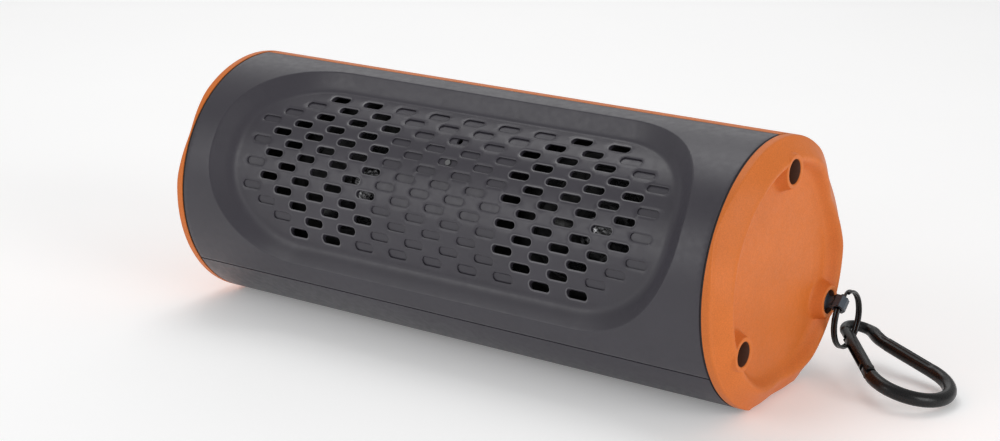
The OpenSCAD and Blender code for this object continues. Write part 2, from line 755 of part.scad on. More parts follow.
front_grille();
base_panel();
rear_shell();
mirror([1, 0, 0]) color(orange) end_cap();  // left_end_cap
color(orange) end_cap();  // right_end_cap
mirror([1, 0, 0]) gasket();  // left_gasket
gasket();  // right_gasket
mirror([1, 0, 0]) bulkhead();  // left_bulkhead
bulkhead();  // right_bulkhead
baffle();
driver_basket(-1);  // left_driver_basket
driver_basket(1);  // right_driver_basket
driver_magnet(-1);  // left_driver_magnet
driver_magnet(1);  // right_driver_magnet
driver_surround(-1);  // left_driver_surround
driver_surround(1);  // right_driver_surround
driver_cone(-1);  // left_driver_cone
driver_cone(1);  // right_driver_cone
dust_cap(-1);  // left_dust_cap
dust_cap(1);  // right_dust_cap
driver_screws();
battery_holder();
battery_cells();
holder_screws();
main_board();
board_components();
board_screws();
usb_port();
aux_port();
port_cover();
port_cover_pin();
button_board();
button_switches();
power_button();
volume_down_button();
play_button();
volume_up_button();
call_button();
status_board();
microphone();
status_lens();
cap_screws();
rubber_foot();
lanyard_post();
split_ring();
carabiner_body();
carabiner_gate();
gate_pin();
gate_spring();
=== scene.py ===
"""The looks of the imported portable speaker, built round its CAD frame.

Shapes are worked out in millimetres and become metres in add_piece.
"""

import json
import math

import bpy
from mathutils import Matrix, Vector
from mathutils.geometry import delaunay_2d_cdt


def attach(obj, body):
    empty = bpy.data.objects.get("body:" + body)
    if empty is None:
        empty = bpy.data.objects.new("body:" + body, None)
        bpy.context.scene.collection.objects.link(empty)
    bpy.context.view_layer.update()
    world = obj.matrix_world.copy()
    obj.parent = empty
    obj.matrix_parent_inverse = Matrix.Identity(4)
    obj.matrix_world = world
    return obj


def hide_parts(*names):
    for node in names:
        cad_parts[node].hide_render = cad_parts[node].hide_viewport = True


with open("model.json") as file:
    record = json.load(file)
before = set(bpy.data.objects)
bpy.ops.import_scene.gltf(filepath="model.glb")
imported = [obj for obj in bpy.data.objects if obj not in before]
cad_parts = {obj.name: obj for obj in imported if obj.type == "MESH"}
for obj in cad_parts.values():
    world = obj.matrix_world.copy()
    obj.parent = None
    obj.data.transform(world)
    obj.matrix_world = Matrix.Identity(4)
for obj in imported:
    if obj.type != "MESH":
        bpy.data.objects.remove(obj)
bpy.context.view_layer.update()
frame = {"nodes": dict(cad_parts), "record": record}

MM = 0.001

# ---------- sizes the CAD has, in millimetres and degrees ----------
AXIS_Z = 38.6
BODY_R = 40.0
INNER_R = 37.4
PANEL_END = 94.7
CAP_START = 95.4
SEAM_X = 95.05
BASE_FLAT = 37.6
FACE_ANGLE = 30.0
SEAM_LOW = -34.0
SEAM_TOP = 95.0
SEAM_GAP = 0.2


def clamp(x, low=0.0, high=1.0):
    return max(low, min(high, x))


def smoothstep(low, high, x):
    t = clamp((x - low) / (high - low))
    return t * t * (3 - 2 * t)


def mix(a, b, t):
    return a + (b - a) * t


# ---------- materials ----------


class Shader:
    """A node material with a Principled shader, built step by step."""

    def __init__(self, name, roughness, metallic=0.0, **sockets):
        self.material = bpy.data.materials.new(name)
        self.material.use_nodes = True
        self.tree = self.material.node_tree
        self.shader = self.tree.nodes["Principled BSDF"]
        self.place = self.node("ShaderNodeTexCoord").outputs["Object"]
        self.shader.inputs["Metallic"].default_value = metallic
        self.shader.inputs["Roughness"].default_value = roughness
        for socket, value in sockets.items():
            self.shader.inputs[socket.replace("_", " ")].default_value = value

    def node(self, kind, **values):
        made = self.tree.nodes.new(kind)
        for key, value in values.items():
            setattr(made, key, value)
        return made

    def link(self, a, b):
        self.tree.links.new(a, b)

    def noise(self, size_mm, detail, stretch=None):
        """Noise whose features are about size_mm across, from 0 to 1."""
        noise = self.node("ShaderNodeTexNoise")
        noise.inputs["Scale"].default_value = 1 / (size_mm * MM)
        noise.inputs["Detail"].default_value = detail
        source = self.place
        if stretch:
            mapping = self.node("ShaderNodeMapping")
            mapping.inputs["Scale"].default_value = stretch
            self.link(source, mapping.inputs["Vector"])
            source = mapping.outputs["Vector"]
        self.link(source, noise.inputs["Vector"])
        return noise.outputs["Fac"]

    def ramp(self, source, stops):
        """A colour ramp with (place, colour) stops."""
        ramp = self.node("ShaderNodeValToRGB")
        elements = ramp.color_ramp.elements
        while len(elements) < len(stops):
            elements.new(0.5)
        for element, (place, colour) in zip(elements, stops):
            element.position = place
            element.color = (*colour, 1)
        self.link(source, ramp.inputs["Fac"])
        return ramp.outputs["Color"]

    def colour(self, source):
        self.link(source, self.shader.inputs["Base Color"])

    def speckle(self, colour, size_mm, spread, patch_mm=22.0, patch_spread=0.05):
        """Fine colour grain over slow patches of lighter and darker colour."""
        grain = self.ramp(
            self.noise(size_mm, 2.0),
            [(0.3, [c * (1 - spread) for c in colour]), (0.7, [c * (1 + spread) for c in colour])],
        )
        patches = self.ramp(
            self.noise(patch_mm, 2.0),
            [(0.35, [1 - patch_spread] * 3), (0.65, [1 + patch_spread] * 3)],
        )
        blend = self.node("ShaderNodeMix", data_type="RGBA", blend_type="MULTIPLY")
        blend.inputs["Factor"].default_value = 1
        self.link(grain, blend.inputs["A"])
        self.link(patches, blend.inputs["B"])
        self.colour(blend.outputs["Result"])

    def rough_grain(self, size_mm, low, high, stretch=None):
        """Roughness that wanders between low and high."""
        spread = self.node("ShaderNodeMapRange")
        spread.inputs["From Min"].default_value = 0.3
        spread.inputs["From Max"].default_value = 0.7
        spread.inputs["To Min"].default_value = low
        spread.inputs["To Max"].default_value = high
        self.link(self.noise(size_mm, 3.0, stretch), spread.inputs["Value"])
        self.link(spread.outputs["Result"], self.shader.inputs["Roughness"])

    def bump(self, size_mm, height_mm, stretch=None):
        """Relief of the surface, height_mm deep over features size_mm across."""
        bump = self.node("ShaderNodeBump")
        bump.inputs["Strength"].default_value = 1
        bump.inputs["Distance"].default_value = height_mm * MM
        self.link(self.noise(size_mm, 2.0, stretch), bump.inputs["Height"])
        self.link(bump.outputs["Normal"], self.shader.inputs["Normal"])


def grained(name, colour, rough, size_mm, height_mm, spread=0.05, **options):
    """Moulded plastic or rubber: grained colour, roughness and relief."""
    made = Shader(name, rough, **options)
    made.speckle(colour, size_mm, spread)
    made.rough_grain(size_mm * 6, rough - 0.05, rough + 0.05)
    made.bump(size_mm, height_mm)
    return made.material


def brushed(name, colour, rough, metallic, stretch, **options):
    """Metal with fine drawn lines."""
    made = Shader(name, rough, metallic, **options)
    made.speckle(colour, 0.6, 0.12, 6.0)
    made.rough_grain(0.5, rough - 0.08, rough + 0.08, stretch)
    made.bump(0.4, 0.004, stretch=stretch)
    return made.material


def circuit_board(name):
    """Solder mask with tracks and pads under it."""
    made = Shader(name, 0.35)
    tracks = made.node("ShaderNodeTexBrick", offset=0.5)
    tracks.inputs["Scale"].default_value = 260
    tracks.inputs["Mortar Size"].default_value = 0.035
    tracks.inputs["Color1"].default_value = (0.006, 0.045, 0.022, 1)
    tracks.inputs["Color2"].default_value = (0.008, 0.06, 0.028, 1)
    tracks.inputs["Mortar"].default_value = (0.02, 0.13, 0.06, 1)
    made.link(made.place, tracks.inputs["Vector"])
    made.colour(tracks.outputs["Color"])
    made.bump(0.5, 0.01)
    return made.material


MATERIALS = {
    "slate_shell": grained("slate_shell", (0.039, 0.0357, 0.0458), 0.4, 0.35, 0.012, 0.05),
    "orange_shell": grained("orange_shell", (0.63, 0.16, 0.026), 0.5, 0.4, 0.02, 0.08,
                            Specular_IOR_Level=0.3),
    "black_rubber": grained("black_rubber", (0.012, 0.012, 0.013), 0.75, 0.3, 0.02, 0.15),
    "inner_plastic": grained("inner_plastic", (0.03, 0.03, 0.032), 0.6, 0.5, 0.02, 0.08),
    "black_plastic": grained("black_plastic", (0.015, 0.015, 0.016), 0.5, 0.4, 0.015, 0.1),
    "button_rubber": grained("button_rubber", (0.03, 0.029, 0.032), 0.6, 0.3, 0.012, 0.1),
    "basket_steel": grained("basket_steel", (0.02, 0.02, 0.021), 0.35, 0.8, 0.01, 0.1),
    "bright_steel": brushed("bright_steel", (0.5, 0.51, 0.53), 0.25, 1.0, (1, 8, 8)),
    "black_steel": brushed("black_steel", (0.008, 0.008, 0.009), 0.22, 0.0, (1, 1, 1),
                           Specular_IOR_Level=0.4),
    "post_metal": brushed("post_metal", (0.045, 0.058, 0.075), 0.38, 0.35, (8, 1, 1)),
    "cone_polymer": grained("cone_polymer", (0.02, 0.02, 0.022), 0.2, 1.2, 0.02, 0.1),
    "dust_cap_metal": brushed("dust_cap_metal", (0.3, 0.3, 0.31), 0.18, 1.0, (1, 1, 1)),
    "cell_wrap": grained("cell_wrap", (0.02, 0.09, 0.2), 0.3, 2.0, 0.01, 0.04),
    "circuit_board": circuit_board("circuit_board"),
    "clear_lens": grained("clear_lens", (0.02, 0.021, 0.023), 0.1, 2.0, 0.002, 0.02),
    "black_anodised": brushed("black_anodised", (0.006, 0.006, 0.0065), 0.3, 0.0, (1, 1, 1),
                              Specular_IOR_Level=0.32),
}
icon_paint = grained("icon_paint", (0.35, 0.34, 0.36), 0.5, 0.3, 0.01)
# Painted highlight: a lighter, glossier copy of the slate on the bevels round the open slots, standing in
# for light caught by their rounded edges.
slot_rim_painted_highlight = grained("slot_rim_painted_highlight", (0.1, 0.097, 0.108), 0.35, 0.35, 0.008)
# Painted shade: a dark brown copy of the orange on the walls and floors of the screw wells, standing in for
# the shadow inside them.
well_wall = grained("well_wall", (0.075, 0.022, 0.008), 0.6, 0.4, 0.02, 0.1)


# ---------- mesh building ----------


def add_piece(name, points, faces, body, slot, replaces=(), sharp=30, material=None):
    """A mesh from points in millimetres, which rides on a CAD body."""
    mesh = bpy.data.meshes.new(name)
    mesh.from_pydata([Vector(p) * MM for p in points], [], faces)
    mesh.validate()
    mesh.shade_smooth()
    mesh.set_sharp_from_angle(angle=math.radians(sharp))
    mesh.materials.append(material or MATERIALS[slot])
    piece = bpy.data.objects.new(name, mesh)
    bpy.context.scene.collection.objects.link(piece)
    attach(piece, body)
    if replaces:
        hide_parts(*replaces)
    return piece


def paint_faces(piece, chosen, material):
    """Gives a second material to the faces whose middle, in millimetres, is chosen."""
    piece.data.materials.append(material)
    for polygon in piece.data.polygons:
        if chosen(polygon.center / MM):
            polygon.material_index = 1


def join_parts(parts):
    """One list of points and one of faces from several."""
    points, faces = [], []
    for more_points, more_faces in parts:
        start = len(points)
        points += more_points
        faces += [[start + i for i in face] for face in more_faces]
    return points, faces


def moved(part, matrix):
    """A part with its points carried by a matrix whose translation is in millimetres."""
    points, faces = part
    if matrix.determinant() < 0:
        faces = [face[::-1] for face in faces]
    return [matrix @ Vector(p) for p in points], faces


def relief(points, data, edges, kind_of, kinds, place):
    """A closed solid over a flat layout of points.

    kind_of(x, y) names the kind of a spot, kinds gives each kind's upper and lower level
    (None where it is open), and place(level, x, y, data) is a point of the solid.
    """
    layout = delaunay_2d_cdt([Vector(p) for p in points], edges, [], 0, 1e-6)
    flat, _, triangles, origin, _, _ = layout
    solid_points, made, faces = [], {}, []

    def at(level, i):
        if (level, i) not in made:
            made[level, i] = len(solid_points)
            first = origin[i][0] if origin[i] else 0
            solid_points.append(place(level, flat[i].x, flat[i].y, data[first]))
        return made[level, i]

    beside = {}
    for triangle in triangles:
        x = sum(flat[i].x for i in triangle) / 3
        y = sum(flat[i].y for i in triangle) / 3
        levels = kinds[kind_of(x, y)]
        for k in range(3):
            beside[triangle[k], triangle[(k + 1) % 3]] = levels
        if levels:
            faces.append([at(levels[0], i) for i in triangle])
            faces.append([at(levels[1], i) for i in reversed(triangle)])
    for (a, b), levels in beside.items():
        if not levels:
            continue
        other = beside.get((b, a))
        if not other:
            drops = [(levels[0], levels[1])]
        else:
            drops = []
            if levels[0] < other[0]:
                drops.append((levels[0], other[0]))
            if levels[1] > other[1]:
                drops.append((other[1], levels[1]))
        for top, bottom in drops:
            faces.append([at(top, b), at(top, a), at(bottom, a), at(bottom, b)])
    return solid_points, faces


def loop_edges(start, count):
    return [(start + i, start + (i + 1) % count) for i in range(count)]


def rounded_rectangle(half_x, half_y, corner, corner_steps, side_steps, end_steps):
    """Points round a rounded rectangle, the same number whatever its size."""
    points = []
    for q in range(4):
        sx = 1 if q in (0, 3) else -1
        sy = 1 if q < 2 else -1
        centre = Vector((sx * (half_x - corner), sy * (half_y - corner)))
        for i in range(corner_steps + 1):
            a = math.radians(90 * (q + i / corner_steps))
            points.append(centre + corner * Vector((math.cos(a), math.sin(a))))
        steps = side_steps if q in (0, 2) else end_steps
        q2 = (q + 1) % 4
        sx = 1 if q2 in (0, 3) else -1
        sy = 1 if q2 < 2 else -1
        a = math.radians(90 * (q + 1))
        turn = corner * Vector((math.cos(a), math.sin(a)))
        goal = Vector((sx * (half_x - corner), sy * (half_y - corner))) + turn
        last = points[-1]
        points += [last.lerp(goal, i / steps) for i in range(1, steps)]
    return points


def rounded_distance(x, y, half_x, half_y, corner):
    """Signed distance from a rounded rectangle, negative inside."""
    dx = abs(x) - (half_x - corner)
    dy = abs(y) - (half_y - corner)
    outside = math.hypot(max(dx, 0), max(dy, 0))
    return outside + min(max(dx, dy), 0) - corner


def lathe(profile, steps):
    """A solid from a closed profile of (radius, height), turned round local Z."""
    points, faces = [], []
    count = len(profile)
    for i in range(steps):
        a = 2 * math.pi * i / steps
        points += [(r * math.cos(a), r * math.sin(a), z) for r, z in profile]
    for i in range(steps):
        j = (i + 1) % steps
        for k in range(count):
            m = (k + 1) % count
            faces.append([i * count + k, j * count + k, j * count + m, i * count + m])
    return points, faces


def sweep(path, normal, outline, ends):
    """A rod along a path. outline(i) is its section there, as (across, along the normal).

    The ends are rounded over a length of ends times the section.
    """
    rings = []
    count = len(path)
    for i, p in enumerate(path):
        tangent = (Vector(path[min(i + 1, count - 1)]) - Vector(path[max(i - 1, 0)])).normalized()
        across = tangent.cross(Vector(normal)).normalized()
        up = across.cross(tangent)
        rings.append((Vector(p), tangent, across, up, outline(i)))
    # (ring, scale, how far back along the tangent) of every station, with the rounded ends
    cap = [(max(u, 0.02), -math.sqrt(1 - u * u)) for u in (0.0, 0.35, 0.7, 0.92)]
    stations = [(0, u, back) for u, back in cap]
    stations += [(i, 1.0, 0.0) for i in range(count)]
    stations += [(count - 1, u, -back) for u, back in reversed(cap)]
    points, faces = [], []
    for i, scale, back in stations:
        p, tangent, across, up, shape = rings[i]
        size = ends * max(abs(a) for a, _ in shape)
        middle = p + tangent * back * size
        points += [middle + (across * a + up * b) * scale for a, b in shape]
    n = len(rings[0][4])
    for i in range(len(stations) - 1):
        for k in range(n):
            m = (k + 1) % n
            faces.append([i * n + k, i * n + m, (i + 1) * n + m, (i + 1) * n + k])
    faces.append(list(range(n))[::-1])
    faces.append([(len(stations) - 1) * n + k for k in range(n)])
    return points, faces


def prism(outline, low, high):
    """A flat-topped solid on a 2-D outline, with a small bevel round its top."""
    bevel = 0.12
    n = len(outline)
    flat = [Vector(p) for p in outline]
    inset = []
    for i in range(n):
        before = (flat[i] - flat[i - 1]).normalized()
        after = (flat[(i + 1) % n] - flat[i]).normalized()
        side = Vector((-before.y - after.y, before.x + after.x)).normalized()
        inset.append(flat[i] + side * bevel)
    points = [(p.x, p.y, low) for p in flat]
    points += [(p.x, p.y, high - bevel) for p in flat]
    points += [(p.x, p.y, high) for p in inset]
    faces = [list(range(n))[::-1], [2 * n + i for i in range(n)]]
    for ring in (0, n):
        for i in range(n):
            j = (i + 1) % n
            faces.append([ring + i, ring + j, ring + n + j, ring + n + i])
    return points, faces


def facing(angle):
    """The CAD's frame at an angle round the tube: Z outward, X along the tube."""
    return Matrix.Translation((0, 0, AXIS_Z)) @ Matrix.Rotation(math.radians(90 - angle), 4, "X")


# ---------- grille panel ----------

FLOOR_R = 34.6
SKIN = 1.5
RECESS = dict(half_x=85.6, half_y=math.radians(52.6) * BODY_R, corner=34.5)
FLOOR = dict(half_x=78.4, half_y=math.radians(46) * BODY_R, corner=29.5)
SLOT_LEN, SLOT_W = 7.0, 2.3
SLOT_PITCH, ROW_PITCH = 12.9, 3.7
ROW_SLOTS = (11, 12, 11, 12, 11, 10, 9)
OPEN_FROM = (2, 2, 2, 2, 2, 2, 3)
OPEN_TO = (5, 5, 5, 5, 4, 3.5, 4)
DIMPLE_R = FLOOR_R - 0.6
SLOT_BEVEL = 0.36
WINDOW_ROWS = (2, 4)
WINDOW_R = 0.95


def slots():
    """(x, v, open) of each slot, v being its distance from the middle row, seen square on."""
    for row in range(-6, 7):
        r = abs(row)
        last = (ROW_SLOTS[r] - 1) / 2
        for i in range(ROW_SLOTS[r]):
            k = i - last
            yield k * SLOT_PITCH, row * ROW_PITCH, OPEN_FROM[r] <= abs(k) <= OPEN_TO[r]


SLOTS = list(slots())
SLOT_ROWS = {}
for slot_x, slot_v, slot_open in SLOTS:
    SLOT_ROWS.setdefault(round(slot_v / ROW_PITCH), []).append((slot_x, slot_open))


def slot_distance(x, v, slot_x, slot_v):
    along = max(abs(x - slot_x) - (SLOT_LEN - SLOT_W) / 2, 0)
    return math.hypot(along, v - slot_v) - SLOT_W / 2


def nearest_slot(x, v):
    """Distance from the nearest slot's edge, negative inside, and the slot."""
    best = (99.0, None)
    for row in (math.floor(v / ROW_PITCH), math.floor(v / ROW_PITCH) + 1):
        for slot_x, is_open in SLOT_ROWS.get(row, ()):
            if abs(x - slot_x) < SLOT_PITCH:
                d = slot_distance(x, v, slot_x, row * ROW_PITCH)
                if d < best[0]:
                    best = (d, (slot_x, row, is_open))
    return best


def arc_of(v):
    """Place round the tube of a point of the floor v from the middle, in arc length at the outer radius."""
    return math.asin(clamp(v / FLOOR_R, -1, 1)) * BODY_R


SLOPE_FROM, SLOPE_TO = -0.06, 1.14


def slope_depths():
    """The recess's depth, from 0 to 1, down its slope in even steps: a crisp rim and a soft foot."""
    steps = 400
    total, depths = 0.0, []
    for i in range(steps + 1):
        t = mix(SLOPE_FROM, SLOPE_TO, i / steps)
        depths.append(total)
        total += smoothstep(SLOPE_FROM, -SLOPE_FROM, t) * (1 - smoothstep(0.45, SLOPE_TO, t))
    return [depth / total for depth in depths]


SLOPE = slope_depths()


def slope_radius(t):
    """Radius of the recess's surface at share t of the way down its slope."""
    i = clamp((t - SLOPE_FROM) / (SLOPE_TO - SLOPE_FROM)) * (len(SLOPE) - 1)
    low = min(int(i), len(SLOPE) - 2)
    depth = mix(SLOPE[low], SLOPE[low + 1], i - low)
    return BODY_R - (BODY_R - FLOOR_R) * depth


def slope_shape(t):
    """The rounded rectangle at share t of the way from the recess's rim to its floor."""
    return {key: mix(RECESS[key], FLOOR[key], t) for key in RECESS}


def grille_place(level, x, s, r):
    """Level 0 is the outer face, 1 the floor of a blind slot and 2 the inner face."""
    turn = s / BODY_R
    if level:
        base = FLOOR_R if r < FLOOR_R else r
        inner = DIMPLE_R if level == 1 else min(INNER_R, base - SKIN)
        straight = math.asin(clamp(r * math.sin(turn) / inner, -1, 1))
        turn = mix(straight, turn, smoothstep(46, 60, abs(math.degrees(turn))))
        r = inner
    a = math.radians(FACE_ANGLE) + turn
    return (x, -r * math.cos(a), AXIS_Z + r * math.sin(a))


def grille_kind(x, s):
    if abs(s) > FLOOR["half_y"]:
        return "land"
    v = FLOOR_R * math.sin(s / BODY_R)
    d, found = nearest_slot(x, v)
    if d >= 0:
        return "land"
    slot_x, row, is_open = found
    if is_open:
        return "open"
    if slot_x == 0 and row in WINDOW_ROWS and math.hypot(x, v - row * ROW_PITCH) < WINDOW_R:
        return "open"
    return "blind"


def build_grille():
    points, data, edges = [], [], []

    def add_loop(loop, r):
        edges.extend(loop_edges(len(points), len(loop)))
        points.extend(loop)
        data.extend([r] * len(loop))

    low = math.radians(SEAM_LOW + SEAM_GAP - FACE_ANGLE) * BODY_R
    high = math.radians(SEAM_TOP - SEAM_GAP - FACE_ANGLE) * BODY_R
    for inset, drop in ((0, 0.22), (0.1, 0.06), (0.25, 0)):
        loop = []
        corners = [(PANEL_END - inset, low + inset), (PANEL_END - inset, high - inset),
                   (inset - PANEL_END, high - inset), (inset - PANEL_END, low + inset)]
        for i, corner in enumerate(corners):
            goal = Vector(corners[(i + 1) % 4])
            steps = 60 if i % 2 == 0 else 64
            loop += [Vector(corner).lerp(goal, k / steps) for k in range(steps)]
        add_loop(loop, BODY_R - drop)

    down_the_slope = (-0.06, -0.035, -0.012, 0.012, 0.035, 0.06, 0.1, 0.17, 0.25, 0.34, 0.43, 0.52,
                      0.6, 0.68, 0.76, 0.84, 0.92, 1.0, 1.07, 1.14)
    for t in down_the_slope:
        ring = rounded_rectangle(**slope_shape(t), corner_steps=44, side_steps=52, end_steps=4)
        add_loop(ring, slope_radius(t))

    end = (SLOT_LEN - SLOT_W) / 2
    for slot_x, slot_v, _ in SLOTS:
        for grow, r in ((SLOT_BEVEL, FLOOR_R), (0, FLOOR_R - 0.2)):
            loop = []
            for side in (1, -1):
                for i in range(11):
                    a = math.radians(-90 + 18 * i)
                    x = side * (end + (SLOT_W / 2 + grow) * math.cos(a))
                    v = side * (SLOT_W / 2 + grow) * math.sin(a)
                    loop.append(Vector((slot_x + x, arc_of(slot_v + v))))
            add_loop(loop, r)
    for row in WINDOW_ROWS:
        loop = []
        for i in range(20):
            a = math.radians(18 * i)
            v = row * ROW_PITCH + WINDOW_R * math.sin(a)
            loop.append(Vector((WINDOW_R * math.cos(a), arc_of(v))))
        add_loop(loop, FLOOR_R)

    outer, inner = slope_shape(SLOPE_FROM), slope_shape(SLOPE_TO)
    step_x, step_s = 1.7, 1.25
    rows = int((high - low) / step_s)
    for j in range(1, rows):
        s = low + j * step_s
        shift = 0.5 * (j % 2)
        for i in range(int(-PANEL_END / step_x), int(PANEL_END / step_x) + 1):
            x = (i + shift) * step_x
            if abs(x) > PANEL_END - 0.9 or high - s < 0.7:
                continue
            if rounded_distance(x, s, **outer) > 0.6:
                points.append(Vector((x, s)))
                data.append(BODY_R)
            elif rounded_distance(x, s, **inner) < -0.6:
                v = FLOOR_R * math.sin(s / BODY_R)
                if nearest_slot(x, v)[0] > SLOT_BEVEL + 0.35:
                    points.append(Vector((x, s)))
                    data.append(FLOOR_R)
    kinds = {"land": (0, 2), "blind": (1, 2), "open": None}
    return relief(points, data, edges, grille_kind, kinds, grille_place)


def on_slot_rim(middle):
    """Whether a face is part of the small bevel round an open slot."""
    radius = math.hypot(middle.y, middle.z - AXIS_Z)
    if not FLOOR_R - 0.25 < radius < FLOOR_R - 0.02:
        return False
    turn = math.atan2(middle.z - AXIS_Z, -middle.y) - math.radians(FACE_ANGLE)
    d, found = nearest_slot(middle.x, FLOOR_R * math.sin(turn))
    return 0 < d < SLOT_BEVEL and found[2]


grille = add_piece("grille_panel", *build_grille(), "speaker", "slate_shell", ["front_grille"])
# The bevels round the open slots get the painted highlight.
paint_faces(grille, on_slot_rim, slot_rim_painted_highlight)

# ---------- end caps ----------

RIDGE_TOP, RIDGE_DIP = 6.95, 5.5
RIDGE_R_TOP, RIDGE_R_DIP = 34.0, 31.7
WALL_TOP, WALL_DIP = 3.0, 1.3
CAP_FLOOR = 3.1
BOSS_RING_R = 30.8
BOSSES = (90, -30, -150)
BOSS_TOP = 6.95
WELL_R = 3.6
WELL_FLOOR = -1.5
COLLAR_R = 5.0
EDGE_ROUND = 0.8


def boss_middle(a):
    a = math.radians(a)
    return Vector((-BOSS_RING_R * math.cos(a), BOSS_RING_R * math.sin(a)))


BOSS_MIDDLES = [boss_middle(a) for a in BOSSES]


def scoop(x, low, high):
    """A straight ramp from 0 to 1 with a short round at each end."""
    reach = 0.1 * (high - low)
    offsets = (-1.0, -0.5, 0.0, 0.5, 1.0)
    return sum(clamp((x + reach * o - low) / (high - low)) for o in offsets) / len(offsets)


def from_boss(a):
    return abs(((a - 90) % 120 + 180) % 120 - 60)


def ridge(a):
    """Radius and height of the ridge, which runs lower and further in between the bosses."""
    share = scoop(from_boss(a), 31, 58)
    return mix(RIDGE_R_TOP, RIDGE_R_DIP, share), mix(RIDGE_TOP, RIDGE_DIP, share)


def wall_height(a):
    """Height of the outer wall, which is scooped down between the bosses."""
    return mix(WALL_TOP, WALL_DIP, scoop(from_boss(a), 38, 58))


def cap_profile(r, crest, h, wall):
    """Height of the cap at radius r, from the radius and height of its ridge and its outer wall's."""
    step = h - CAP_FLOOR
    table = ((0, CAP_FLOOR), (crest - 4.8, CAP_FLOOR), (crest - 3.5, CAP_FLOOR + 0.12 * step),
             (crest - 2.5, h - 0.62 * step), (crest - 1.5, h - 0.25 * step), (crest - 0.7, h - 0.12),
             (crest, h), (crest + 0.7, h - 0.25), (39.2, wall), (45, wall))
    for (r0, h0), (r1, h1) in zip(table, table[1:]):
        if r <= r1:
            return mix(h0, h1, (r - r0) / (r1 - r0))
    return table[-1][1]


def cap_height(y, z):
    """Height of the cap's outer face above the seam line."""
    r = math.hypot(y, z)
    a = math.degrees(math.atan2(z, -y))
    crest, h = ridge(a)
    samples = (-0.24, -0.12, 0, 0.12, 0.24)
    height = sum(cap_profile(r + o, crest, h, wall_height(a)) for o in samples) / len(samples)
    for middle in BOSS_MIDDLES:
        q = (Vector((y, z)) - middle).length
        if q > 8:
            continue
        flare = CAP_FLOOR + (BOSS_TOP - CAP_FLOOR) * clamp((6.6 - q) / 1.7) ** 1.4
        height = max(height, flare)
        height = mix(height, BOSS_TOP, 1 - smoothstep(4.5, 5.1, q))
        height -= 0.3 * clamp((4.0 - q) / 0.4) ** 2
    return height


def cap_outline(inset):
    """The cap's edge, moved in by inset: a circle with a flat at the bottom."""
    r = BODY_R - inset
    flat = BASE_FLAT - inset
    corner = math.acos(flat / r)
    loop = []
    arc_steps, flat_steps = 236, 22
    for i in range(arc_steps):
        a = corner + (2 * math.pi - 2 * corner) * i / arc_steps
        loop.append(Vector((r * math.sin(a), -r * math.cos(a))))
    half = r * math.sin(corner)
    for i in range(flat_steps):
        loop.append(Vector((mix(-half, half, i / flat_steps), -flat)))
    return loop


def cap_place(level, y, z, h):
    """Level 0 is the outer face, 1 a well's floor, 2 the inner face and 3 a boss's inner end."""
    height = (h, WELL_FLOOR, CAP_START - SEAM_X, WELL_FLOOR - 2)[level]
    return (SEAM_X + height, y, AXIS_Z + z)


def cap_kind(y, z):
    q = min((Vector((y, z)) - middle).length for middle in BOSS_MIDDLES)
    if q < WELL_R:
        return "well"
    return "collar" if q < COLLAR_R else "land"


def build_cap():
    points, data, edges = [], [], []

    def add_loop(loop, heights):
        edges.extend(loop_edges(len(points), len(loop)))
        points.extend(loop)
        data.extend(heights)

    for inset in (0, 0.06, 0.15, 0.3, 0.5, 0.8):
        away = 1 - inset / EDGE_ROUND
        drop = EDGE_ROUND * (1 - math.sqrt(max(0, 1 - away * away)))
        loop = cap_outline(inset)
        add_loop(loop, [cap_height(*p) - drop for p in loop])
    round_a_boss = (WELL_R, 3.7, 3.82, 4.0, 4.3, 4.5, 4.65, 4.8, 4.93, COLLAR_R, 5.1, 5.3, 5.5, 5.7,
                    6.0, 6.3, 6.7, 7.6)
    for middle in BOSS_MIDDLES:
        for q in round_a_boss:
            turns = [2 * math.pi * i / 64 for i in range(64)]
            loop = [middle + q * Vector((math.cos(a), math.sin(a))) for a in turns]
            inside = all(p.length < BODY_R - 1.2 for p in loop)
            if inside:
                add_loop(loop, [cap_height(*p) for p in loop])
            else:
                kept = [p for p in loop if p.length < BODY_R - 1.3]
                points.extend(kept)
                data.extend(cap_height(*p) for p in kept)
    radii = [2.5 * i for i in range(1, 11)] + [27 + 0.42 * i for i in range(29)]
    for ring, r in enumerate(radii):
        count = 240 if r > 26 else max(8, int(r * 5))
        for i in range(count):
            a = 2 * math.pi * (i + 0.5 * (ring % 2)) / count
            p = Vector((r * math.cos(a), r * math.sin(a)))
            if p.y < -BASE_FLAT + 1.1 or r > BODY_R - 1.1:
                continue
            if all((p - middle).length > 7.8 for middle in BOSS_MIDDLES):
                points.append(p)
                data.append(cap_height(*p))
    points.append(Vector((0, 0)))
    data.append(CAP_FLOOR)
    kinds = {"land": (0, 2), "collar": (0, 3), "well": (1, 3)}
    shell = relief(points, data, edges, cap_kind, kinds, cap_place)
    spigot = lathe([(34.6, CAP_START - 3), (37.1, CAP_START - 3), (37.1, CAP_START + 0.5),
                    (34.6, CAP_START + 0.5)], 180)
    turn = Matrix.Translation((0, 0, AXIS_Z)) @ Matrix.Rotation(math.radians(90), 4, "Y")
    return join_parts([shell, moved(spigot, turn)])


def in_well(middle):
    """Whether a face is the wall or the floor of a well."""
    spot = Vector((middle.y, middle.z - AXIS_Z))
    if abs(middle.x) > SEAM_X + BOSS_TOP - 0.6:
        return False
    return any((spot - boss).length < WELL_R + 0.04 for boss in BOSS_MIDDLES)


cap = build_cap()
mirrored = moved(cap, Matrix.Scale(-1, 4, (1, 0, 0)))
for side, part in (("right", cap), ("left", mirrored)):
    piece = add_piece(f"{side}_cap", *part, "speaker", "orange_shell", [f"{side}_end_cap"], sharp=42)
    # The walls and floors of the wells get the painted shade.
    paint_faces(piece, in_well, well_wall)

# ---------- split ring ----------

RING_R = 8.5
RING_WIRE = 1.0
HEAD_X = 10.1
RING_LEAN = 40


